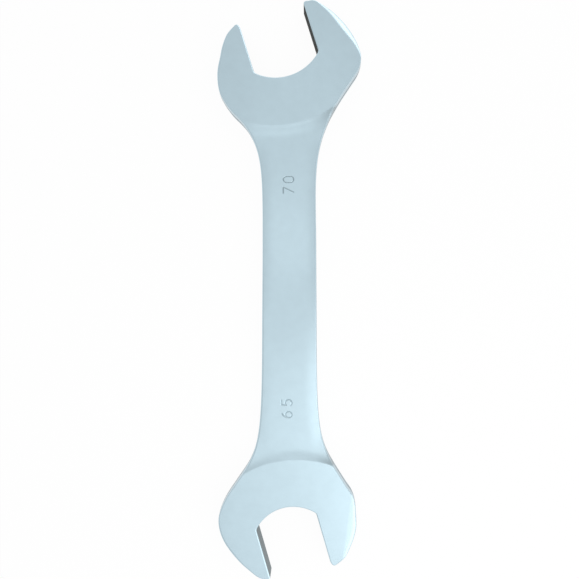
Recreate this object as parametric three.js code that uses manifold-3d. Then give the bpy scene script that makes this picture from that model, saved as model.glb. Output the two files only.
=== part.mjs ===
import * as THREE from 'three';
import { mergeVertices } from 'three/addons/utils/BufferGeometryUtils.js';
import Module from 'manifold-3d';

// A drop-forged double open end wrench, lying flat on its face. X goes across the shank, Y along
// it with the larger jaw at +Y, and Z up through the thickness. All sizes are in millimetres.

// Forging: thickness, draft of the outer walls, and the crown and edges of the shank
const headThickness = 20;
const shankThickness = 12.5;
const draftAngle = THREE.MathUtils.degToRad(5);
const shankCrown = 1.2;
const shankCrownWidth = 14;
const shankEdgeRadius = 1.5;

// Shank: its two ends are a little different in width, and the nut centres lie off its middle
// line. It is straight over straightLength, and the necks take up the rest.
const nutCentreSpan = 528.7;
const straightLength = 69.9;
const shankWidthAtSeventy = 56.8;
const shankWidthAtSixtyFive = 57.7;

// Edges of the ground heads, with a fine chamfer in the slots that turns into the outer edge over
// a fade. From reliefStart along each flank, a long facet relieves the outer edge.
const headEdgeWidth = 1.1;
const headEdgeDepth = 1;
const slotChamfer = 1;
const throatCornerRadius = 4;
const edgeFadeLength = 28;
const reliefStart = 16;

// Ramp from a ground head face down to the shank
const rampRadius = 30;
const rampTopAngle = THREE.MathUtils.degToRad(29);
const rampTailAngle = THREE.MathUtils.degToRad(4);

// Size marks, stamped across the shank and read from its side
const markHeight = 10.8;
const markWidth = 6.3;
const markStroke = 1.4;
const markDepth = 0.6;

// How far a cutting or keeping solid runs past the metal
const overrun = 3;

// Jaw outlines run from the neck to the tip, in the frame of the jaw: the first share goes from
// the flat out to the widest part of the cheek, the second from the neck start to the tip.
const seventyRightShares = [
  [0.368, 0], [0.603, 0.078], [0.835, 0.159], [0.98, 0.268], [1, 0.391], [0.964, 0.513],
  [0.883, 0.631], [0.766, 0.742], [0.587, 0.858], [0.311, 0.98], [0.15, 1],
];
const seventyLeftShares = [
  [0.736, 0], [0.868, 0.114], [0.957, 0.236], [1, 0.361], [0.96, 0.486],
  [0.87, 0.608], [0.73, 0.721], [0.587, 0.833], [0.387, 0.94], [0.151, 1],
];
const sixtyFiveRightShares = [
  [0.844, 0], [0.919, 0.126], [1, 0.251], [0.989, 0.381], [0.935, 0.508],
  [0.869, 0.635], [0.746, 0.749], [0.586, 0.852], [0.397, 0.948], [0.144, 1],
];
const sixtyFiveLeftShares = [
  [0.266, 0], [0.519, 0.078], [0.746, 0.166], [0.927, 0.267], [1, 0.385], [0.982, 0.506],
  [0.888, 0.622], [0.75, 0.734], [0.598, 0.827], [0.322, 0.955], [0.08, 1],
];

// Heads: nutOffset is across the shank. The ground face is a disc whose centre lies faceForward
// of the nut, towards the mouth. In a jaw, reliefWidth and reliefDepth are what the facet adds to
// the edge at its widest place, and reliefRoundShare is 0 for a flat facet and 1 for a round one.
const seventyHead = {
  end: 1,
  acrossFlats: 70,
  lean: THREE.MathUtils.degToRad(17.3),
  nutOffset: -11.4,
  throatDepth: 43,
  throatRadius: 50,
  faceRadius: 108,
  faceForward: 15,
  shankWidth: shankWidthAtSeventy,
  marks: ['7', '0'],
  markDistance: 154.2,
  markOffset: -0.8,
  markPitch: 11.3,
  right: {
    side: 1, cheek: 41.3, tipReach: 24.6, tipRounding: 2,
    neckStart: 75.4, neckPull: 68, shankPull: 90,
    reliefEnd: 94, reliefWidth: 6, reliefDepth: 3, reliefRoundShare: 0.36,
    outlineShares: seventyRightShares,
  },
  left: {
    side: -1, cheek: 41.3, tipReach: 24.4, tipRounding: 7,
    neckStart: 69.2, neckPull: 38, shankPull: 92,
    reliefEnd: 90, reliefWidth: 1.5, reliefDepth: 1.1, reliefRoundShare: 1,
    outlineShares: seventyLeftShares,
  },
};
const sixtyFiveHead = {
  end: -1,
  acrossFlats: 65,
  lean: THREE.MathUtils.degToRad(16.3),
  nutOffset: 4,
  throatDepth: 39.4,
  throatRadius: 44,
  faceRadius: 107,
  faceForward: 19,
  shankWidth: shankWidthAtSixtyFive,
  marks: ['6', '5'],
  markDistance: 140.7,
  markOffset: -2.7,
  markPitch: 12.4,
  right: {
    side: 1, cheek: 42.1, tipReach: 31.2, tipRounding: 7,
    neckStart: 54, neckPull: 44, shankPull: 117,
    reliefEnd: 92, reliefWidth: 9, reliefDepth: 3, reliefRoundShare: 0.87,
    outlineShares: sixtyFiveRightShares,
  },
  left: {
    side: -1, cheek: 38, tipReach: 27.9, tipRounding: 2,
    neckStart: 75.3, neckPull: 45, shankPull: 138,
    reliefEnd: 95, reliefWidth: 1.5, reliefDepth: 1.1, reliefRoundShare: 1,
    outlineShares: sixtyFiveLeftShares,
  },
};

// How finely the curves are divided
const flankSteps = 4;
const neckSteps = 14;
const tipSteps = 8;
const cornerSteps = 4;
const throatSteps = 16;
const edgeSteps = 4;
const edgeLevelShares = [0, 0.06, 0.15, 0.25, 0.4, 0.6, 0.8, 1];
const crownSteps = 5;
const rampSteps = 5;
const faceSegments = 96;
const glyphSteps = 14;

const wasm = await Module();
wasm.setup();

// Geometry to boolean solid and back. Triangles that shrink to a line where a lathe profile
// touches its axis are left out.
function toSolid(geometry) {
  geometry.deleteAttribute('normal');
  geometry.deleteAttribute('uv');
  const merged = mergeVertices(geometry);
  const corners = merged.index.array;
  const triVerts = [];
  for (let i = 0; i < corners.length; i += 3) {
    const triangle = [corners[i], corners[i + 1], corners[i + 2]];
    if (new Set(triangle).size === 3) triVerts.push(...triangle);
  }
  return new wasm.Manifold(new wasm.Mesh({
    numProp: 3,
    vertProperties: new Float32Array(merged.attributes.position.array),
    triVerts: new Uint32Array(triVerts),
  }));
}

function toGeometry(solid) {
  const mesh = solid.getMesh();
  const geometry = new THREE.BufferGeometry();
  geometry.setAttribute('position', new THREE.BufferAttribute(mesh.vertProperties, 3));
  geometry.setIndex(new THREE.BufferAttribute(mesh.triVerts, 1));
  geometry.computeVertexNormals();
  return geometry;
}

// A place in a jaw's own frame, across its flats and along its axis towards the mouth
function jawPlace(head, across, along) {
  const cos = Math.cos(head.lean);
  const sin = Math.sin(head.lean);
  return new THREE.Vector2(
    head.nutOffset + across * cos - head.end * along * sin,
    head.end * nutCentreSpan / 2 + across * sin + head.end * along * cos,
  );
}

// The edge of the ground face at a distance along a jaw's outer side, from its flat. softShare is
// 0 for the chamfer of the machined slot and 1 for the ground outer edge.
function faceEdge(jaw, travelled) {
  const { clamp, lerp, smoothstep } = THREE.MathUtils;
  const softShare = smoothstep(travelled, 0, edgeFadeLength);
  const facetShare = clamp((travelled - reliefStart) / (jaw.reliefEnd - reliefStart), 0, 1);
  const reliefShare = Math.sin(Math.PI * facetShare);
  return {
    softShare,
    width: lerp(slotChamfer, headEdgeWidth + reliefShare * jaw.reliefWidth, softShare),
    depth: lerp(slotChamfer, headEdgeDepth + reliefShare * jaw.reliefDepth, softShare),
    roundShare: softShare * lerp(1, jaw.reliefRoundShare, reliefShare),
  };
}

// One side of a head from the straight shank to the flat. Each row is a place and the edge of the
// face there; core marks the neck and shoulder.
function jawOutline(head, jaw) {
  const halfGap = head.acrossFlats / 2;
  const reach = jaw.tipReach + jaw.neckStart;
  const flank = jaw.outlineShares.map(([out, forward]) => jawPlace(
    head,
    jaw.side * (halfGap + out * jaw.cheek),
    forward * reach - jaw.neckStart,
  ));
  const widest = jaw.outlineShares.findIndex(([out]) => out === 1);
  const neckEnd = flank[0];
  const neckLine = neckEnd.clone().sub(flank[1]).setLength(jaw.neckPull);
  const shankY = head.end * straightLength / 2;
  const shankEnd = new THREE.Vector2(jaw.side * head.shankWidth / 2, shankY);
  const shankLine = new THREE.Vector2(0, head.end * jaw.shankPull);
  const neck = new THREE.CubicBezierCurve(
    shankEnd,
    shankEnd.clone().add(shankLine),
    neckEnd.clone().add(neckLine),
    neckEnd,
  );
  const rows = neck.getPoints(neckSteps).map((place) => ({ place, core: true }));
  const curve = new THREE.SplineCurve(flank).getPoints(flankSteps * (flank.length - 1));
  curve.slice(1).forEach((place, i) => {
    rows.push({ place, core: i < widest * flankSteps });
  });

  // The tip turns from the flank's end into the flat, about the corner where the two would meet
  const last = jaw.outlineShares.at(-1);
  const before = jaw.outlineShares.at(-2);
  const slope = (last[1] - before[1]) * reach / ((before[0] - last[0]) * jaw.cheek);
  const cornerAlong = jaw.tipReach + slope * last[0] * jaw.cheek;
  const tip = new THREE.QuadraticBezierCurve(
    flank.at(-1),
    jawPlace(head, jaw.side * halfGap, cornerAlong),
    jawPlace(head, jaw.side * halfGap, jaw.tipReach - jaw.tipRounding),
  );
  tip.getPoints(tipSteps).slice(1).forEach((place) => rows.push({ place }));

  let travelled = 0;
  for (let i = rows.length - 1; i >= 0; i -= 1) {
    if (i < rows.length - 1) travelled += rows[i].place.distanceTo(rows[i + 1].place);
    rows[i].edge = faceEdge(jaw, travelled);
  }
  return rows;
}

// The throat of a slot from its right flat to its left one, with a small radius in each corner
function throatOutline(head) {
  const halfGap = head.acrossFlats / 2;
  const throatCentre = head.throatRadius - head.throatDepth;
  const cornerAcross = halfGap - throatCornerRadius;
  const cornerReach = head.throatRadius - throatCornerRadius;
  const cornerAlong = throatCentre - Math.sqrt(cornerReach ** 2 - cornerAcross ** 2);
  const start = Math.atan2(cornerAlong - throatCentre, cornerAcross);
  const edge = faceEdge(head.right, 0);
  const rows = [];
  const arc = (across, along, radius, from, to, steps) => {
    for (let i = 0; i <= steps; i += 1) {
      const angle = THREE.MathUtils.lerp(from, to, i / steps);
      const place = jawPlace(
        head,
        across + radius * Math.cos(angle),
        along + radius * Math.sin(angle),
      );
      rows.push({ place, edge });
    }
  };
  arc(cornerAcross, cornerAlong, throatCornerRadius, 0, start, cornerSteps);
  arc(0, throatCentre, head.throatRadius, start, -Math.PI - start, throatSteps);
  arc(-cornerAcross, cornerAlong, throatCornerRadius, -Math.PI - start, -Math.PI, cornerSteps);
  return rows;
}

// The whole outline, anticlockwise seen from above
function wrenchOutline() {
  const upper = [
    ...jawOutline(seventyHead, seventyHead.right),
    ...throatOutline(seventyHead),
    ...jawOutline(seventyHead, seventyHead.left).reverse(),
  ];
  const lower = [
    ...jawOutline(sixtyFiveHead, sixtyFiveHead.left),
    ...throatOutline(sixtyFiveHead).reverse(),
    ...jawOutline(sixtyFiveHead, sixtyFiveHead.right).reverse(),
  ];
  const rows = [...upper, ...lower];
  const least = slotChamfer / 100;
  return rows.filter((row, i) => row.place.distanceTo(rows.at(i - 1).place) > least);
}

// Moves each point of an outline that runs anticlockwise towards the metal by its own inset
function insetOutline(places, insets, closed) {
  const count = places.length;
  return places.map((place, i) => {
    const first = !closed && i === 0;
    const last = !closed && i === count - 1;
    const before = first ? place : places[(i + count - 1) % count];
    const after = last ? place : places[(i + 1) % count];
    const into = (first ? after.clone().sub(place) : place.clone().sub(before)).normalize();
    const out = (last ? place.clone().sub(before) : after.clone().sub(place)).normalize();
    const along = into.clone().add(out).normalize();
    const inward = new THREE.Vector2(-along.y, along.x);
    return inward.multiplyScalar(insets[i] / into.dot(along)).add(place);
  });
}

// A closed solid through rings that lie one above the other, with flat ends
function stackRings(rings) {
  const count = rings[0].places.length;
  const positions = rings.flatMap(({ places, z }) => places.flatMap(({ x, y }) => [x, y, z]));
  const index = [];
  for (let k = 0; k < rings.length - 1; k += 1) {
    for (let i = 0; i < count; i += 1) {
      const a = k * count + i;
      const b = k * count + (i + 1) % count;
      index.push(a, b, b + count, a, b + count, a + count);
    }
  }
  const top = (rings.length - 1) * count;
  for (const [a, b, c] of THREE.ShapeUtils.triangulateShape(rings[0].places, [])) {
    index.push(c, b, a);
  }
  for (const [a, b, c] of THREE.ShapeUtils.triangulateShape(rings.at(-1).places, [])) {
    index.push(top + a, top + b, top + c);
  }
  const geometry = new THREE.BufferGeometry();
  geometry.setAttribute('position', new THREE.Float32BufferAttribute(positions, 3));
  geometry.setIndex(index);
  return geometry;
}

// The levels of one half of a section, from its middle to its face, mirrored to the other half
function mirroredLevels(levels) {
  const lower = levels.map((level) => ({ ...level, rise: -level.rise })).reverse();
  return [...lower, ...levels];
}

// The blank: the outline at full head thickness, drafted, with ground outer edges and a small
// chamfer round both slots
function blank(rows) {
  const places = rows.map(({ place }) => place);
  const half = headThickness / 2;
  const deepest = Math.max(...rows.map(({ edge }) => edge.depth));
  const drops = [slotChamfer, ...edgeLevelShares.map((share) => share * deepest)];
  drops.sort((a, b) => b - a);
  const least = slotChamfer / 100;
  const levels = mirroredLevels([half, ...drops].map((drop) => ({ rise: half - drop })));
  const rings = levels.filter(({ rise }, i) => i === 0 || rise - levels[i - 1].rise > least)
    .map(({ rise }) => {
      const drop = half - Math.abs(rise);
      const insets = rows.map(({ edge }) => {
        const flatShare = Math.max(0, 1 - drop / edge.depth);
        const arcShare = 1 - Math.sqrt(1 - flatShare ** 2);
        const wall = Math.min(Math.abs(rise), half - edge.depth);
        return wall * Math.tan(draftAngle) * edge.softShare
          + edge.width * THREE.MathUtils.lerp(flatShare, arcShare, edge.roundShare);
      });
      return { places: insetOutline(places, insets, true), z: half + rise };
    });
  return stackRings(rings);
}

// What the shank and necks keep of the blank: their two edges, lower, and crowned between them
function shankEnvelope() {
  const edge = (head, jaw) => jawOutline(head, jaw)
    .filter(({ core }) => core)
    .map(({ place }) => place);
  const edges = [
    [...edge(sixtyFiveHead, sixtyFiveHead.right).reverse(), ...edge(seventyHead, seventyHead.right)],
    [...edge(seventyHead, seventyHead.left).reverse(), ...edge(sixtyFiveHead, sixtyFiveHead.left)],
  ];
  const half = shankThickness / 2;
  const side = half - shankCrown - shankEdgeRadius;
  const levels = [{ rise: side - overrun, inset: -overrun }, { rise: side, inset: 0 }];
  for (let i = 1; i <= edgeSteps; i += 1) {
    const angle = Math.PI / 2 * i / edgeSteps;
    levels.push({
      rise: side + shankEdgeRadius * Math.sin(angle),
      inset: shankEdgeRadius * (1 - Math.cos(angle)),
    });
  }
  for (let i = 1; i <= crownSteps; i += 1) {
    const share = i / crownSteps;
    levels.push({
      rise: half - shankCrown * (1 - share) ** 2,
      inset: THREE.MathUtils.lerp(shankEdgeRadius, shankCrownWidth, share),
    });
  }
  const rings = mirroredLevels(levels).map(({ rise, inset }) => ({
    places: edges.flatMap((places) => insetOutline(places, places.map(() => inset), false)),
    z: headThickness / 2 + rise,
  }));
  return stackRings(rings);
}

// What a head keeps of the blank: a thick disc whose rim falls in a hollow curve to the shank
function headEnvelope(head) {
  const half = headThickness / 2;
  const rise = half + overrun;
  const upper = [new THREE.Vector2(head.faceRadius - overrun / Math.tan(rampTopAngle), rise)];
  const curveStart = Math.sin(rampTopAngle);
  for (let i = 0; i <= rampSteps; i += 1) {
    const angle = THREE.MathUtils.lerp(rampTopAngle, rampTailAngle, i / rampSteps);
    const run = rampRadius * (curveStart - Math.sin(angle));
    const drop = rampRadius * (Math.cos(angle) - Math.cos(rampTopAngle));
    upper.push(new THREE.Vector2(head.faceRadius + run, half - drop));
  }
  const tail = upper.at(-1);
  const tailFall = tail.y - shankThickness / 4;
  upper.push(new THREE.Vector2(tail.x + tailFall / Math.tan(rampTailAngle), tail.y - tailFall));
  const lower = upper.map(({ x, y }) => new THREE.Vector2(x, -y));
  const profile = [
    new THREE.Vector2(0, -rise),
    ...lower,
    ...upper.reverse(),
    new THREE.Vector2(0, rise),
  ];
  const disc = new THREE.LatheGeometry(profile, faceSegments);
  const centre = jawPlace(head, 0, head.faceForward);
  disc.rotateX(Math.PI / 2);
  disc.translate(centre.x, centre.y, half);
  return disc;
}

// A flat stroke of constant width along a line of points, open or closed on itself
function strokeShape(points, closed) {
  const [left, right] = [1, -1].map((sign) => (
    insetOutline(points, points.map(() => sign * markStroke / 2), closed)
  ));
  if (!closed) return new THREE.Shape([...left, ...right.reverse()]);
  const shape = new THREE.Shape(right);
  shape.holes.push(new THREE.Path(left));
  return shape;
}

// The centre lines of a digit, as shares of its width and height
function digitLineShares(digit) {
  const bowl = (x, y, xRadius, yRadius, from, to) => {
    const points = [];
    for (let i = 0; i <= glyphSteps; i += 1) {
      const angle = THREE.MathUtils.degToRad(THREE.MathUtils.lerp(from, to, i / glyphSteps));
      points.push([x + xRadius * Math.cos(angle), y + yRadius * Math.sin(angle)]);
    }
    return points;
  };
  const lines = {
    0: [{
      closed: true,
      shares: [...bowl(0.5, 0.7, 0.5, 0.3, 0, 180), ...bowl(0.5, 0.3, 0.5, 0.3, 180, 360)],
    }],
    5: [{ shares: [[0.94, 1], [0.14, 1], ...bowl(0.48, 0.32, 0.52, 0.32, 138, -142)] }],
    6: [
      { closed: true, shares: bowl(0.5, 0.31, 0.5, 0.31, 0, 360).slice(1) },
      { shares: bowl(1, 0.31, 1, 0.69, 180, 108) },
    ],
    7: [{ shares: [[0, 1], [1, 1], [0.18, 0]] }],
  };
  return lines[digit];
}

// The stamped digits of one head, as the solids that sink them into the shank
function markCuts(head) {
  const floor = (headThickness + shankThickness) / 2 - markDepth;
  const middle = head.end * (nutCentreSpan / 2 - head.markDistance);
  const lines = head.marks.flatMap((digit, i) => {
    const y = middle + head.markPitch * (i - (head.marks.length - 1) / 2);
    return digitLineShares(digit).map(({ shares, closed = false }) => ({
      closed,
      points: shares.map(([across, up]) => new THREE.Vector2(
        head.markOffset - (up - 0.5) * markHeight,
        y + (across - 0.5) * markWidth,
      )),
    }));
  });
  return lines.map(({ points, closed }) => {
    const cut = new THREE.ExtrudeGeometry(strokeShape(points, closed), {
      depth: markDepth + overrun,
      bevelEnabled: false,
    });
    return cut.translate(0, 0, floor);
  });
}

// The forging, ground, machined and stamped
function forging() {
  const rows = wrenchOutline();
  const kept = [headEnvelope(seventyHead), headEnvelope(sixtyFiveHead), shankEnvelope()]
    .map(toSolid)
    .reduce((whole, solid) => whole.add(solid));
  const ground = toSolid(blank(rows)).intersect(kept);
  const stamped = [...markCuts(seventyHead), ...markCuts(sixtyFiveHead)]
    .map(toSolid)
    .reduce((whole, cut) => whole.subtract(cut), ground);
  return toGeometry(stamped);
}

const satinChrome = new THREE.MeshStandardMaterial({
  color: 0xcbe2ec,
  roughness: 0.36,
  metalness: 0.9,
});

// The origin is under the middle of the whole outline, on the surface that the wrench lies on
const wrench = new THREE.Mesh(forging(), satinChrome);
wrench.name = 'wrench_forging';
wrench.geometry.computeBoundingBox();
const middle = wrench.geometry.boundingBox.getCenter(new THREE.Vector3());
wrench.position.set(-middle.x, -middle.y, 0);

const group = new THREE.Group();
group.add(wrench);

export default group;
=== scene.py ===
from math import atan2, cos, pi, radians, sin, sqrt, tan

import bpy
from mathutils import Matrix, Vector, kdtree
from mathutils.geometry import delaunay_2d_cdt, interpolate_bezier


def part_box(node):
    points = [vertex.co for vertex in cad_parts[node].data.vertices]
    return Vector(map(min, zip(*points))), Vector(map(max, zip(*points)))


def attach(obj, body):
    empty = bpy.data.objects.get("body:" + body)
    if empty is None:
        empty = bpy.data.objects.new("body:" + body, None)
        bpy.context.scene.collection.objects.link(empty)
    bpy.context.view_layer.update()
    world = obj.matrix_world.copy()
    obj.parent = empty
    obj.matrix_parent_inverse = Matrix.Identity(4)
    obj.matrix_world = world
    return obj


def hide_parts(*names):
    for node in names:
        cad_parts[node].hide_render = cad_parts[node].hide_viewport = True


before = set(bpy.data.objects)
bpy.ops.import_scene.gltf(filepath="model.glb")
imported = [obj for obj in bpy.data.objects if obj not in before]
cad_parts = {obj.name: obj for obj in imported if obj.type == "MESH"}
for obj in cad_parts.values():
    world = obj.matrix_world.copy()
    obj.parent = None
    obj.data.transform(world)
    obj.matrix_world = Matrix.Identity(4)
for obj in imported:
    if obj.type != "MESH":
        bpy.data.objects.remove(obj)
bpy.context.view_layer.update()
forging_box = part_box("wrench_forging")


# Outline of the forging
# One drop-forged blank of chrome vanadium steel. Its outline is trimmed in the forging die, and the
# two jaws are then broached to 70 mm and 65 mm across their flats, leaning from the shank.

nut_centre_span = 0.5287
straight_length = 0.0699
slot_chamfer = 0.001
throat_corner_radius = 0.004
edge_fade_length = 0.028
relief_start = 0.016
relief_skew = 1.05
bare_start = 0.003
bare_end = 0.012

seventy = {
    "end": 1,
    "across_flats": 0.070,
    "lean": radians(17.3),
    "nut_offset": -0.0114,
    "throat_depth": 0.043,
    "throat_radius": 0.050,
    "shank_width": 0.0568,
    "face_radius": 0.108,
    "face_forward": 0.015,
    "marks": "70",
    "mark_distance": 0.1542,
    "mark_offset": -0.0008,
    "mark_pitch": 0.0113,
    "right": {
        "side": 1, "cheek": 0.0413, "tip_reach": 0.0246, "tip_rounding": 0.002,
        "neck_start": 0.0754, "neck_pull": 0.068, "shank_pull": 0.090,
        "relief_end": 0.094, "relief_width": 0.006, "relief_depth": 0.003, "relief_power": 1.25,
        "outline_shares": [
            (0.368, 0), (0.603, 0.078), (0.835, 0.159), (0.98, 0.268), (1, 0.391), (0.964, 0.513),
            (0.883, 0.631), (0.766, 0.742), (0.587, 0.858), (0.311, 0.98), (0.15, 1),
        ],
    },
    "left": {
        "side": -1, "cheek": 0.0413, "tip_reach": 0.0244, "tip_rounding": 0.007,
        "neck_start": 0.0692, "neck_pull": 0.038, "shank_pull": 0.092,
        "relief_end": 0.09, "relief_width": 0.0015, "relief_depth": 0.0011, "relief_power": 2,
        "outline_shares": [
            (0.736, 0), (0.868, 0.114), (0.957, 0.236), (1, 0.361), (0.96, 0.486),
            (0.87, 0.608), (0.73, 0.721), (0.587, 0.833), (0.387, 0.94), (0.151, 1),
        ],
    },
}
sixty_five = {
    "end": -1,
    "across_flats": 0.065,
    "lean": radians(16.3),
    "nut_offset": 0.004,
    "throat_depth": 0.0394,
    "throat_radius": 0.044,
    "shank_width": 0.0577,
    "face_radius": 0.107,
    "face_forward": 0.019,
    "marks": "65",
    "mark_distance": 0.1407,
    "mark_offset": -0.0027,
    "mark_pitch": 0.0124,
    "right": {
        "side": 1, "cheek": 0.0421, "tip_reach": 0.0312, "tip_rounding": 0.007,
        "neck_start": 0.054, "neck_pull": 0.044, "shank_pull": 0.117,
        "relief_end": 0.092, "relief_width": 0.009, "relief_depth": 0.003, "relief_power": 1.8,
        "outline_shares": [
            (0.844, 0), (0.919, 0.126), (1, 0.251), (0.989, 0.381), (0.935, 0.508),
            (0.869, 0.635), (0.746, 0.749), (0.586, 0.852), (0.397, 0.948), (0.144, 1),
        ],
    },
    "left": {
        "side": -1, "cheek": 0.038, "tip_reach": 0.0279, "tip_rounding": 0.002,
        "neck_start": 0.0753, "neck_pull": 0.045, "shank_pull": 0.138,
        "relief_end": 0.095, "relief_width": 0.0015, "relief_depth": 0.0011, "relief_power": 2,
        "outline_shares": [
            (0.266, 0), (0.519, 0.078), (0.746, 0.166), (0.927, 0.267), (1, 0.385), (0.982, 0.506),
            (0.888, 0.622), (0.75, 0.734), (0.598, 0.827), (0.322, 0.955), (0.08, 1),
        ],
    },
}


def jaw_place(head, across, along):
    """A place seen from above, from a jaw's own frame: across its flats and towards its mouth."""
    end, lean = head["end"], head["lean"]
    return Vector((
        head["nut_offset"] + across * cos(lean) - end * along * sin(lean),
        end * nut_centre_span / 2 + across * sin(lean) + end * along * cos(lean),
    ))


def bezier(points, steps):
    """Points of a cubic Bezier curve, its first point left out."""
    return [p.to_2d() for p in interpolate_bezier(*(q.to_3d() for q in points), steps + 1)][1:]


def spline(points, steps):
    """A smooth curve through all its points, its first point left out."""
    ends = [points[0], *points, points[-1]]
    curve = []
    for before, start, stop, after in zip(ends, ends[1:], ends[2:], ends[3:]):
        first = start + (stop - before) / 6
        second = stop - (after - start) / 6
        curve += bezier((start, first, second, stop), steps)
    return curve


def smooth_share(value, low_value, high_value):
    """Rises from 0 at the low value to 1 at the high one, without a kink at either."""
    share = min(1, max(0, (value - low_value) / (high_value - low_value)))
    return share * share * (3 - 2 * share)


def jaw_outline(head, jaw, spacing=0.0015, tip_steps=16):
    """One side of a head, from the middle of the shank to the end of the flat beside the throat.

    Each row holds a place, its shares of the soft outer edge, of the relief and of bare steel,
    and the jaw.
    """
    half_gap = head["across_flats"] / 2
    reach = jaw["tip_reach"] + jaw["neck_start"]
    shares = jaw["outline_shares"]
    flank = [
        jaw_place(head, jaw["side"] * (half_gap + out * jaw["cheek"]), forward * reach - jaw["neck_start"])
        for out, forward in shares
    ]
    shank_y = head["end"] * straight_length / 2
    shank_end = Vector((jaw["side"] * head["shank_width"] / 2, shank_y))
    shank_steps = round(abs(shank_y) / spacing)
    middle_width = (seventy["shank_width"] + sixty_five["shank_width"]) / 2
    shank_start = Vector((jaw["side"] * middle_width / 2, 0))
    shank = [shank_start.lerp(shank_end, i / shank_steps) for i in range(1, shank_steps + 1)]
    neck_line = (flank[0] - flank[1]).normalized() * jaw["neck_pull"]
    shank_line = Vector((0, head["end"] * jaw["shank_pull"]))
    neck_steps = round((flank[0] - shank_end).length / spacing)
    neck = bezier((shank_end, shank_end + shank_line, flank[0] + neck_line, flank[0]), neck_steps)
    flank_steps = round(reach / (len(shares) - 1) / spacing)
    edge = shank + neck + spline(flank, flank_steps)

    # The tip turns from the end of the flank into the flat, about the corner where they would meet
    (out_before, before), (out_last, last) = shares[-2:]
    slope = (last - before) * reach / ((out_before - out_last) * jaw["cheek"])
    corner_along = jaw["tip_reach"] + slope * out_last * jaw["cheek"]
    corner = jaw_place(head, jaw["side"] * half_gap, corner_along)
    flat_start = jaw_place(head, jaw["side"] * half_gap, jaw["tip_reach"] - jaw["tip_rounding"])
    handles = (flank[-1].lerp(corner, 2 / 3), flat_start.lerp(corner, 2 / 3))
    tip = bezier((flank[-1], *handles, flat_start), tip_steps)

    throat_along = throat_corner(head)[1]
    flat_length = jaw["tip_reach"] - jaw["tip_rounding"] - throat_along
    flat_steps = round(flat_length / spacing)
    flat_end = jaw_place(head, jaw["side"] * half_gap, throat_along)
    flat = [flat_start.lerp(flat_end, i / flat_steps) for i in range(1, flat_steps + 1)]

    # The soft edge fades out before the flat. Round the jaw's tip it is relieved by a long facet,
    # so that the head swings past what stands beside the nut.
    outer = edge + tip
    travelled = 0
    rows = [(outer[-1], 0, 0, 1, jaw)]
    for last, place in zip(reversed(outer), reversed(outer[:-1])):
        travelled += (place - last).length
        facet = min(1, max(0, (travelled - relief_start) / (jaw["relief_end"] - relief_start)))
        relief = sin(pi * facet ** relief_skew)
        bare = 1 - smooth_share(travelled, bare_start, bare_end)
        rows.append((place, smooth_share(travelled, 0, edge_fade_length), relief, bare, jaw))
    return rows[::-1] + [(place, 0, 0, 1, jaw) for place in flat]


def throat_corner(head):
    """Centre of the small radius between a flat and the throat, across and along the jaw."""
    throat_centre = head["throat_radius"] - head["throat_depth"]
    across = head["across_flats"] / 2 - throat_corner_radius
    reach = head["throat_radius"] - throat_corner_radius
    return across, throat_centre - sqrt(reach ** 2 - across ** 2)


def throat_outline(head, corner_steps=10, throat_steps=44):
    """The throat of a slot from its right flat to its left one, both end points left out."""
    throat_centre = head["throat_radius"] - head["throat_depth"]
    corner_across, corner_along = throat_corner(head)
    start = atan2(corner_along - throat_centre, corner_across)
    arcs = [
        (corner_across, corner_along, throat_corner_radius, 0, start, corner_steps),
        (0, throat_centre, head["throat_radius"], start, -pi - start, throat_steps),
        (-corner_across, corner_along, throat_corner_radius, -pi - start, -pi, corner_steps),
    ]
    points = []
    for across, along, radius, first, last, steps in arcs:
        for i in range(1, steps + 1):
            angle = first + (last - first) * i / steps
            points.append(jaw_place(head, across + radius * cos(angle), along + radius * sin(angle)))
    return [(place, 0, 0, 1, head["right"]) for place in points[:-1]]


upper = (
    jaw_outline(seventy, seventy["right"])
    + throat_outline(seventy)
    + jaw_outline(seventy, seventy["left"])[::-1]
)
lower = (
    jaw_outline(sixty_five, sixty_five["left"])
    + throat_outline(sixty_five)[::-1]
    + jaw_outline(sixty_five, sixty_five["right"])[::-1]
)
rows = upper + lower
outline = [place for place, *_ in rows]

# The origin of the part is under the middle of the outline
middle = (forging_box[0] + forging_box[1]).to_2d() / 2
low = Vector((min(p.x for p in outline), min(p.y for p in outline)))
high = Vector((max(p.x for p in outline), max(p.y for p in outline)))
shift = middle - (low + high) / 2


# Edges of the forging
# The outer wall leans in from the parting line of the die, and its edge is ground to a wide soft
# rounding on the heads and a small one on the shank. The broached slots keep a fine chamfer.

draft_angle = radians(5)
head_half = forging_box[1].z / 2
shank_half = 0.00625
shank_crown = 0.0012
head_edge_width = 0.0011
head_edge_depth = 0.001
shank_edge_width = 0.0019
shank_edge_depth = 0.0016
edge_blend_start = 0.002
edge_blend_end = 0.016
round_power = 2
chamfer_power = 1.25
wall_shares = [0, 0.5, 0.94]
edge_steps = 11
side_steps = 3
edge_margin = 0.0003


def lerp(a, b, share):
    return a + (b - a) * share


def face_run(head, place):
    """How far a place lies outside the rim of a head's ground face."""
    return (place - jaw_place(head, 0, head["face_forward"])).length - head["face_radius"]


def head_share(place):
    """1 where the edge belongs to a ground head, 0 on the shank, and in between on the ramps."""
    run = min(face_run(seventy, place), face_run(sixty_five, place))
    return 1 - smooth_share(run, -edge_blend_start, edge_blend_end)


def inward_steps(points):
    """For each point of an anticlockwise outline, the step that goes one unit into the metal."""
    steps = []
    for before, place, after in zip(points[-1:] + points, points, points[1:] + points[:1]):
        into, out = (place - before).normalized(), (after - place).normalized()
        along = (into + out).normalized()
        steps.append(Vector((-along.y, along.x)) / into.dot(along))
    return steps


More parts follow.
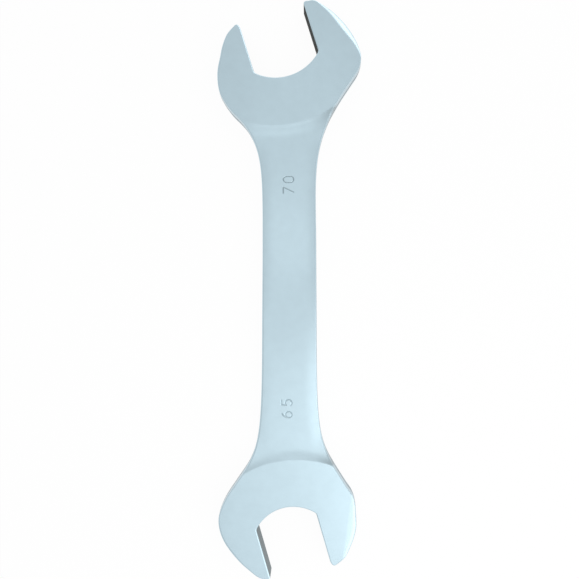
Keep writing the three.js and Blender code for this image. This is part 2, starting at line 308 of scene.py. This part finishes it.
# Each ring goes once round the forging. Its points hold a place, the share of the half height that
# they have on the wall, their drop below the top surface, and their shares of bare steel and wall.
rings = [[] for _ in range(len(wall_shares) + edge_steps + 2)]
for (place, soft, relief, bare, jaw), step in zip(rows, inward_steps(outline)):
    on_head = head_share(place)
    outer_width = lerp(shank_edge_width, head_edge_width, on_head) + relief * jaw["relief_width"]
    outer_depth = lerp(shank_edge_depth, head_edge_depth, on_head) + relief * jaw["relief_depth"]
    outer_power = lerp(round_power, jaw["relief_power"], relief)
    width = lerp(slot_chamfer, outer_width, soft)
    depth = lerp(slot_chamfer, outer_depth, soft)
    power = 2 / lerp(chamfer_power, outer_power, soft)
    wall_height = lerp(shank_half - shank_crown, head_half, on_head) - depth
    lean_in = wall_height * tan(draft_angle) * soft
    points = [(place + step * lean_in * lift, lift, depth, bare, 1) for lift in wall_shares]
    for i in range(edge_steps + 1):
        turn = pi / 2 * i / edge_steps
        inset = lean_in + width * (1 - max(0, cos(turn)) ** power)
        drop = depth * (1 - sin(turn) ** power)
        on_side = max(0, 1 - i / side_steps)
        points.append((place + step * inset, 1, drop, bare if i == 0 else 0, on_side))
    points.append((place + step * (lean_in + width + edge_margin), 1, 0, 0, 0))
    for ring, point in zip(rings, points):
        ring.append(point)


# Size marks
# The two jaw widths in millimetres, stamped cold into the shank with number punches before plating.
# They read from the shank's side, upwards.

mark_height = 0.0108
mark_width = 0.0063
mark_margin = 0.0014


def bowl(x, y, x_radius, y_radius, first, last, steps=28):
    """An arc of an ellipse, as shares of a digit's width and height."""
    turns = [radians(lerp(first, last, i / steps)) for i in range(steps + 1)]
    return [(x + x_radius * cos(turn), y + y_radius * sin(turn)) for turn in turns]


digit_line_shares = {
    "0": [[*bowl(0.5, 0.7, 0.5, 0.3, 0, 180), *bowl(0.5, 0.3, 0.5, 0.3, 180, 360), (1, 0.7)]],
    "5": [[(0.94, 1), (0.14, 1), *bowl(0.48, 0.32, 0.52, 0.32, 138, -142)]],
    "6": [bowl(0.5, 0.31, 0.5, 0.31, 0, 360), bowl(1, 0.31, 1, 0.69, 180, 108)],
    "7": [[(0, 1), (1, 1), (0.18, 0)]],
}
mark_lines = []
mark_middles = []
for head in (seventy, sixty_five):
    head_middle = head["end"] * (nut_centre_span / 2 - head["mark_distance"])
    for i, digit in enumerate(head["marks"]):
        along = head["mark_pitch"] * (i - (len(head["marks"]) - 1) / 2)
        centre = Vector((head["mark_offset"], head_middle + along))
        mark_middles.append(centre)
        for line in digit_line_shares[digit]:
            mark_lines.append([
                centre + Vector(((0.5 - up) * mark_height, (across - 0.5) * mark_width))
                for across, up in line
            ])


# Plan of the top surface
# The forging seen from above: rings round its edge, fine points along the rims of the heads and on
# the stamped digits, and an even spread elsewhere, joined into triangles.

plain_pitch = 0.0024
mark_step = 0.0003
rim_step = 0.0012
rim_runs = [
    -0.002, -0.0014, -0.0009, -0.0004, 0, 0.0004, 0.0009, 0.0014, 0.0021,
    0.003, 0.0041, 0.0054, 0.007, 0.009, 0.0113, 0.0138,
]
ring_clearance = 0.6
joining_tolerance = 0.0000001

inner_ring = [place for place, *_ in rings[-1]]
inner_steps = inward_steps(inner_ring)
ring_tree = kdtree.KDTree(len(inner_ring))
for i, place in enumerate(inner_ring):
    ring_tree.insert(place.to_3d(), i)
ring_tree.balance()


def on_metal(place, clearance):
    """Whether a place lies inside the innermost ring, by at least the clearance."""
    _, i, distance = ring_tree.find(place.to_3d())
    return distance > clearance and (place - inner_ring[i]).dot(inner_steps[i]) > 0


def near_mark(place):
    """Whether a place lies in the finer mesh round one of the digits."""
    return any(
        abs(place.x - centre.x) < mark_height / 2 + mark_margin
        and abs(place.y - centre.y) < mark_width / 2 + mark_margin
        for centre in mark_middles
    )


def grid(low_corner, high_corner, pitch):
    """Points in staggered rows, which make nearly equal triangles."""
    points = []
    row_pitch = pitch * sqrt(3) / 2
    for j in range(int((high_corner.y - low_corner.y) / row_pitch) + 1):
        x = low_corner.x + pitch / 2 * (j % 2)
        while x <= high_corner.x:
            points.append(Vector((x, low_corner.y + j * row_pitch)))
            x += pitch
    return points


fill = []
for place in grid(low, high, plain_pitch):
    run = min(face_run(seventy, place), face_run(sixty_five, place))
    on_rim = rim_runs[0] - plain_pitch / 2 < run < rim_runs[-1] + plain_pitch / 2
    if not on_rim and not near_mark(place) and on_metal(place, plain_pitch * ring_clearance):
        fill.append(place)
for head in (seventy, sixty_five):
    centre = jaw_place(head, 0, head["face_forward"])
    for run in rim_runs:
        radius = head["face_radius"] + run
        turns = round(2 * pi * radius / rim_step)
        for i in range(turns):
            turn = 2 * pi * i / turns
            place = centre + Vector((cos(turn), sin(turn))) * radius
            towards_shank = (place - centre).y * head["end"] < 0
            if towards_shank and on_metal(place, rim_step * ring_clearance):
                fill.append(place)
for centre in mark_middles:
    reach = Vector((mark_height / 2 + mark_margin, mark_width / 2 + mark_margin))
    fill += grid(centre - reach, centre + reach, mark_step)

loop = list(range(len(inner_ring)))
places, _, triangles, _, _, _ = delaunay_2d_cdt(
    inner_ring + fill, [], [loop], 1, joining_tolerance
)

count = len(outline)
vertices = [point for ring in rings for point in ring]
vertices += [(place, 1, 0, 0, 0) for place in places[count:]]
faces = []
for k in range(len(rings) - 1):
    for i in range(count):
        a, b = k * count + i, k * count + (i + 1) % count
        faces.append((a, b, b + count, a + count))
start = (len(rings) - 1) * count
faces += [tuple(start + i for i in triangle) for triangle in triangles]
plan = bpy.data.meshes.new("plan")
plan.from_pydata([(*(place + shift), 0) for place, *_ in vertices], [], faces)
for column, name in enumerate(("lift", "drop", "bare", "side"), 1):
    layer = plan.attributes.new(name, "FLOAT", "POINT")
    layer.data.foreach_set("value", [vertex[column] for vertex in vertices])


# Thickness of the forging
# The heads are forged thick and ground flat, each as a disc whose rim falls in a hollow ramp to the
# thinner shank, which keeps a slight crown. The underside is the same, without the numbers.

crown_width = 0.014
ramp_radius = 0.03
ramp_top_angle = radians(29)
ramp_tail_angle = radians(4)
rim_softness = 0.0013
root_softness = 0.0008
# Painted shade in the corner between a ramp and the right edge
ramp_shade_rise = 0.0012
ramp_shade_line_width = 0.005
ramp_shade_line_share = 0.4
ramp_shade_length = 0.016
ramp_shade_corner_share = 1.1
ramp_shade_side_reach = 0.06
mark_half_stroke = 0.00085
mark_depth = 0.0006
weld_distance = 0.00001


class Wire:
    """One output of a node. Sums and products of wires add Math nodes to their tree."""

    def __init__(self, graph, socket):
        self.graph, self.socket = graph, socket

    def __add__(self, other):
        return self.graph.maths("ADD", self, other)

    def __radd__(self, other):
        return self.graph.maths("ADD", other, self)

    def __sub__(self, other):
        return self.graph.maths("SUBTRACT", self, other)

    def __rsub__(self, other):
        return self.graph.maths("SUBTRACT", other, self)

    def __mul__(self, other):
        return self.graph.maths("MULTIPLY", self, other)

    def __rmul__(self, other):
        return self.graph.maths("MULTIPLY", other, self)

    def __truediv__(self, other):
        return self.graph.maths("DIVIDE", self, other)

    def __rtruediv__(self, other):
        return self.graph.maths("DIVIDE", other, self)


class Graph:
    """A node tree that is being wired."""

    def __init__(self, tree):
        self.tree = tree

    def node(self, kind, settings=None, sockets=None, output=0):
        """Adds a node: its settings come first, then the values or wires of its sockets."""
        node = self.tree.nodes.new(kind)
        for name, value in (settings or {}).items():
            setattr(node, name, value)
        for key, values in (sockets or {}).items():
            for value in values if isinstance(values, list) else [values]:
                if isinstance(value, Wire):
                    self.tree.links.new(value.socket, node.inputs[key])
                else:
                    node.inputs[key].default_value = value
        return Wire(self, node.outputs[output]) if node.outputs else None

    def maths(self, operation, *values):
        return self.node("ShaderNodeMath", {"operation": operation}, dict(enumerate(values)))


def line_object(name, lines, closed=False):
    """A helper object of bare edges, which the distances on the forging are measured to."""
    points, edges = [], []
    for line in lines:
        start = len(points)
        points += [(*(place + shift), 0) for place in line]
        edges += [(i, i + 1) for i in range(start, len(points) - 1)]
        if closed:
            edges.append((len(points) - 1, start))
    mesh = bpy.data.meshes.new(name)
    mesh.from_pydata(points, edges, [])
    helper = bpy.data.objects.new(name, mesh)
    bpy.context.collection.objects.link(helper)
    return helper


outline_helper = line_object("outline_line", [outline], closed=True)
marks_helper = line_object("mark_lines", mark_lines)
satin_chrome = bpy.data.materials.new("satin_chrome")

heights = bpy.data.node_groups.new("forging_heights", "GeometryNodeTree")
heights.interface.new_socket("Plan", in_out="INPUT", socket_type="NodeSocketGeometry")
heights.interface.new_socket("Forging", in_out="OUTPUT", socket_type="NodeSocketGeometry")
graph = Graph(heights)
group_input = heights.nodes.new("NodeGroupInput")
input_values = {}


def tree_input(name, kind, value):
    """A named input of the tree. Its value is kept by identifier for the modifier."""
    item = heights.interface.new_socket(name, in_out="INPUT", socket_type=f"NodeSocket{kind}")
    input_values[item.identifier] = value
    return Wire(graph, group_input.outputs[name])


def attribute(name):
    """A value that the plan's vertices carry."""
    return graph.node("GeometryNodeInputNamedAttribute", {"data_type": "FLOAT"}, {"Name": name})


def distance_to(helper):
    """How far each vertex of the plan lies from the lines of a helper."""
    lines = graph.node("GeometryNodeObjectInfo", {}, {"Object": helper}, "Geometry")
    nearest = {"target_element": "EDGES"}
    return graph.node("GeometryNodeProximity", nearest, {"Geometry": lines}, "Distance")


head_top = tree_input("Head half thickness", "Float", head_half)
shank_top = tree_input("Shank half thickness", "Float", shank_half)
crown = tree_input("Shank crown", "Float", shank_crown)
crown_reach = tree_input("Shank crown width", "Float", crown_width)
hollow = tree_input("Ramp radius", "Float", ramp_radius)
top_angle = tree_input("Ramp top angle", "Float", ramp_top_angle)
tail_angle = tree_input("Ramp tail angle", "Float", ramp_tail_angle)
rim = tree_input("Rim softness", "Float", rim_softness)
root = tree_input("Ramp root softness", "Float", root_softness)
stroke = tree_input("Half stroke of a mark", "Float", mark_half_stroke)
stamped = tree_input("Depth of a mark", "Float", mark_depth)
outline_lines = tree_input("Outline", "Object", outline_helper)
stamp_lines = tree_input("Marks", "Object", marks_helper)
finish = tree_input("Finish", "Material", satin_chrome)

plan_place = graph.node("GeometryNodeInputPosition")
top_sine, tail_sine = graph.maths("SINE", top_angle), graph.maths("SINE", tail_angle)
ramps, past_rims = [], []
for name, head in (("70", seventy), ("65", sixty_five)):
    centre = jaw_place(head, 0, head["face_forward"]) + shift
    face_centre = tree_input(f"Face centre {name}", "Vector", centre.to_3d())
    face_radius = tree_input(f"Face radius {name}", "Float", head["face_radius"])
    apart = {"operation": "DISTANCE"}
    from_centre = graph.node("ShaderNodeVectorMath", apart, {0: plan_place, 1: face_centre}, "Value")
    past_rim = graph.maths("SMOOTH_MAX", from_centre - face_radius, 0, rim)
    past_rims.append(past_rim)
    slope = graph.maths("MAXIMUM", top_sine - past_rim / hollow, tail_sine)
    fall = (graph.maths("SQRT", 1 - slope * slope) - graph.maths("COSINE", top_angle)) * hollow
    tail_run = graph.maths("MAXIMUM", past_rim - (top_sine - tail_sine) * hollow, 0)
    ramps.append(head_top - fall - tail_run * graph.maths("TANGENT", tail_angle))

near_edge = graph.maths("MAXIMUM", 1 - distance_to(outline_lines) / crown_reach, 0)
shank_surface = shank_top - crown * near_edge * near_edge
surface = graph.maths("SMOOTH_MAX", graph.maths("MAXIMUM", *ramps), shank_surface, root)
from_mark = distance_to(stamp_lines) / stroke
stamp = graph.maths("MAXIMUM", 1 - from_mark * from_mark, 0)
lift, drop = attribute("lift"), attribute("drop")
x = graph.node("ShaderNodeSeparateXYZ", {}, {"Vector": plan_place}, "X")
y = graph.node("ShaderNodeSeparateXYZ", {}, {"Vector": plan_place}, "Y")

# Painted shade: a dark line just past the rim of each ground face and a darker patch where a ramp meets
# the edge, on the right side only
past_rim = graph.maths("MINIMUM", *past_rims)
up_ramp = graph.maths("MINIMUM", past_rim / ramp_shade_rise, 1)
line = graph.maths("MAXIMUM", 1 - past_rim / ramp_shade_line_width, 0) * ramp_shade_line_share
corner = graph.maths("MAXIMUM", 1 - past_rim / ramp_shade_length, 0) * near_edge * ramp_shade_corner_share
rightwards = graph.maths("MAXIMUM", graph.maths("MINIMUM", x / ramp_shade_side_reach, 1), 0)
crease = up_ramp * rightwards * (line + corner)


def raised(geometry, z):
    """The plan lifted to a height."""
    place = graph.node("ShaderNodeCombineXYZ", {}, {"X": x, "Y": y, "Z": z})
    return graph.node("GeometryNodeSetPosition", {}, {"Geometry": geometry, "Position": place})


plan_geometry = Wire(graph, group_input.outputs["Plan"])
# The painted ramp shade is stored on the plan for the material
ramp_shade_layer = {"Geometry": plan_geometry, "Name": "crease", "Value": crease}
ramp_shaded = graph.node("GeometryNodeStoreNamedAttribute", {"data_type": "FLOAT"}, ramp_shade_layer)
stamp_layer = {"Geometry": ramp_shaded, "Name": "stamp", "Value": stamp * stamp}
marked = graph.node("GeometryNodeStoreNamedAttribute", {"data_type": "FLOAT"}, stamp_layer)
top = raised(marked, head_top + lift * (surface - drop - stamped * stamp * stamp))
underside = raised(ramp_shaded, head_top - lift * (surface - drop))
flipped = graph.node("GeometryNodeFlipFaces", {}, {"Mesh": underside})
halves = graph.node("GeometryNodeJoinGeometry", {}, {"Geometry": [flipped, top]})
parting_line = graph.node("FunctionNodeCompare", {"operation": "LESS_THAN"}, {0: lift, 1: weld_distance})
weld = {"Geometry": halves, "Selection": parting_line, "Distance": weld_distance}
welded = graph.node("GeometryNodeMergeByDistance", {}, weld)
smooth = graph.node("GeometryNodeSetShadeSmooth", {}, {"Geometry": welded})
real = graph.node("GeometryNodeRealizeInstances", {}, {"Geometry": smooth})
finished = graph.node("GeometryNodeSetMaterial", {}, {"Geometry": real, "Material": finish})
graph.node("NodeGroupOutput", {}, {"Forging": finished})

forging = bpy.data.objects.new("wrench_forging_finished", plan)
bpy.context.collection.objects.link(forging)
modifier = forging.modifiers.new("heights", "NODES")
modifier.node_group = heights
for identifier, value in input_values.items():
    modifier[identifier] = value
evaluated = forging.evaluated_get(bpy.context.evaluated_depsgraph_get())
forging_mesh = bpy.data.meshes.new_from_object(evaluated)
forging.modifiers.remove(modifier)
forging.data = forging_mesh
for helper in (outline_helper, marks_helper):
    bpy.data.objects.remove(helper)


# Finish of the forging
# Ground and bead-blasted steel under satin chrome plate. Painted shade makes the walls a little darker
# and near black at the parting line, and darkens the stamped digits and the corners beside the ramps
# on the right. The two slots are broached after plating and show bare steel, darker still, with the
# tool's lines through the thickness; the upper slot's steel is darkened to near black as painted shade.

chrome_colour = (0.60, 0.76, 0.84, 1)
cloud_share = 0.86
# Painted shade in the stamped digits and beside the ramps, weaker on the lower end's digits
painted_shade_share = 0.6
lower_mark_shade_share = 0.5
painted_shade_colour = (0.22, 0.26, 0.27, 1)
# Painted shade on the walls: a little darker than the faces, and near black at the parting line
wall_shade_colour = (0.54, 0.65, 0.705, 1)
parting_shade_colour = (0.09, 0.11, 0.12, 1)
parting_shade_share = 0.4
# Painted shade: the upper slot's bare steel is nearly black, the lower slot's a mid grey
upper_bare_shade_colour = (0.02, 0.024, 0.022, 1)
lower_bare_colour = (0.27, 0.305, 0.315, 1)
chrome_roughness = 0.36
roughness_spread = 0.08
bare_roughness = 0.7
broach_height = 3
relief_strength = 0.25
relief_depth = 0.00004

satin_chrome.use_nodes = True
satin_chrome.node_tree.nodes.clear()
graph = Graph(satin_chrome.node_tree)
place = graph.node("ShaderNodeTexCoord", {}, {}, "Object")
y = graph.node("ShaderNodeSeparateXYZ", {}, {"Vector": place}, "Y")
bare, side, stamp, crease, lift = (
    graph.node("ShaderNodeAttribute", {"attribute_name": name}, {}, "Fac")
    for name in ("bare", "side", "stamp", "crease", "lift")
)


def noise(scale, stretch=(1, 1, 1), detail=3):
    """An uneven pattern with so many features to the metre, denser where it is stretched."""
    stretched = graph.node("ShaderNodeMapping", {}, {"Vector": place, "Scale": stretch})
    return graph.node("ShaderNodeTexNoise", {}, {"Vector": stretched, "Scale": scale, "Detail": detail})


def mixed(factor, a, b):
    """A colour between two colours."""
    sockets = {"Factor": factor, 6: a, 7: b}
    return graph.node("ShaderNodeMix", {"data_type": "RGBA"}, sockets, 2)


clouds = (noise(22) + noise(110)) * 0.5
blast = noise(2600, detail=2)
lines = noise(60, (1, 34, 1))
broach = noise(90, (14, 14, 0.4))
clouded_colour = (*(channel * cloud_share for channel in chrome_colour[:3]), 1)
# Painted shade: the walls darken towards the parting line, where lift is low
parting_shade = graph.maths("MAXIMUM", 1 - lift / parting_shade_share, 0)
wall_shade = mixed(parting_shade, wall_shade_colour, parting_shade_colour)
plate = mixed(side, mixed(clouds, clouded_colour, chrome_colour), wall_shade)
# Painted shade: the stamped digits and the ramp corners are darkened, the upper end's digits twice as much
# as the lower end's
upper_end = graph.maths("GREATER_THAN", y, 0)
marks = stamp * (lower_mark_shade_share + upper_end * (1 - lower_mark_shade_share))
plate = mixed(graph.maths("MAXIMUM", marks, crease) * painted_shade_share, plate, painted_shade_colour)
# Bare steel in the slots, with painted shade that darkens the upper one
bare_steel_and_shade = mixed(upper_end, lower_bare_colour, upper_bare_shade_colour)
colour = mixed(bare, plate, bare_steel_and_shade)
roughness = chrome_roughness + (lines - 0.5) * roughness_spread
roughness = roughness + bare * (bare_roughness - chrome_roughness)
relief = blast * (1 - bare) + broach * bare * broach_height
bump = graph.node("ShaderNodeBump", {}, {
    "Strength": relief_strength, "Distance": relief_depth, "Height": relief,
}, "Normal")
shader = graph.node("ShaderNodeBsdfPrincipled", {}, {
    "Base Color": colour, "Metallic": 1.0, "Roughness": roughness, "Normal": bump,
})
graph.node("ShaderNodeOutputMaterial", {}, {"Surface": shader})

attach(forging, "root")
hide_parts("wrench_forging")


# Floor
# A plain white board that the wrench lies on. It shows white, and keeps a faint shadow.

floor_half = 6
floor_colour = (0.95, 0.95, 0.95, 1)
glow_share = 0.95

floor_mesh = bpy.data.meshes.new("floor")
corners = [(-floor_half, -floor_half, 0), (floor_half, -floor_half, 0),
           (floor_half, floor_half, 0), (-floor_half, floor_half, 0)]
floor_mesh.from_pydata(corners, [], [(0, 1, 2, 3)])
floor = bpy.data.objects.new("floor", floor_mesh)
bpy.context.collection.objects.link(floor)
board = bpy.data.materials.new("white_board")
board.use_nodes = True
board.node_tree.nodes.clear()
graph = Graph(board.node_tree)
seen = sum(
    graph.node("ShaderNodeLightPath", {}, {}, f"Is {kind} Ray")
    for kind in ("Camera", "Glossy", "Transmission")
)
matt = graph.node("ShaderNodeBsdfDiffuse", {}, {"Color": floor_colour})
glow = graph.node("ShaderNodeEmission", {}, {"Color": (1, 1, 1, 1), "Strength": 1.0})
factor = graph.maths("MINIMUM", seen, 1) * glow_share
surface = graph.node("ShaderNodeMixShader", {}, {"Fac": factor, 1: matt, 2: glow})
graph.node("ShaderNodeOutputMaterial", {}, {"Surface": surface})
floor_mesh.materials.append(board)


# Light
# A pale room with softboxes overhead, the strongest over the lower end at the right. Two standing
# panels, off the upper end and off the right side, light the edges that lean towards them.

room_light = 0.745
overhead_height = 0.45

world = bpy.data.worlds.new("studio")
world.use_nodes = True
world.node_tree.nodes["Background"].inputs["Color"].default_value = (1, 1, 1, 1)
world.node_tree.nodes["Background"].inputs["Strength"].default_value = room_light
bpy.context.scene.world = world


def softbox(name, place, target, size, radiance):
    """A rectangular light that faces its target, as bright as its radiance says."""
    light = bpy.data.lights.new(name, "AREA")
    light.shape = "RECTANGLE"
    light.size, light.size_y = size
    light.energy = radiance * pi * size[0] * size[1]
    lamp = bpy.data.objects.new(name, light)
    lamp.location = place
    lamp.rotation_euler = (Vector(target) - Vector(place)).to_track_quat("-Z", "Y").to_euler()
    bpy.context.collection.objects.link(lamp)


for name, x, y, size, radiance in (
    ("softbox", 0.2, -0.38, (0.25, 0.55), 0.8),
    ("lower_fill", 0, -0.39, (0.35, 0.56), 0.31),
    ("left_fill", -0.16, -0.2, (0.12, 0.3), 0.5),
    ("middle_fill", -0.02, 0.1, (0.25, 0.2), 0.34),
    ("upper_fill", 0, 0.35, (0.25, 0.25), 0.15),
):
    softbox(name, (x, y, overhead_height), (x, y, 0), size, radiance)
softbox("upper_panel", (0.7, 1.4, 0.35), (0.05, 0.25, 0), (1.6, 0.6), 1.45)
softbox("lower_panel", (0.9, -0.7, 0.45), (0.05, -0.25, 0), (1.2, 0.8), 1.1)


# Camera
# It hangs straight above the wrench, a little to the right of its middle.

sensor_width = 36
focal_length = 29.31
camera_place = (0.02185, 0.00153, 0.50778)
camera_turn = (radians(-0.0535), radians(2.4637), 0)

camera_data = bpy.data.cameras.new("camera")
camera_data.sensor_width = sensor_width
camera_data.lens = focal_length
camera = bpy.data.objects.new("camera", camera_data)
camera.location = camera_place
camera.rotation_euler = camera_turn
bpy.context.collection.objects.link(camera)
bpy.context.scene.camera = camera
bpy.context.scene.view_settings.view_transform = "Standard"
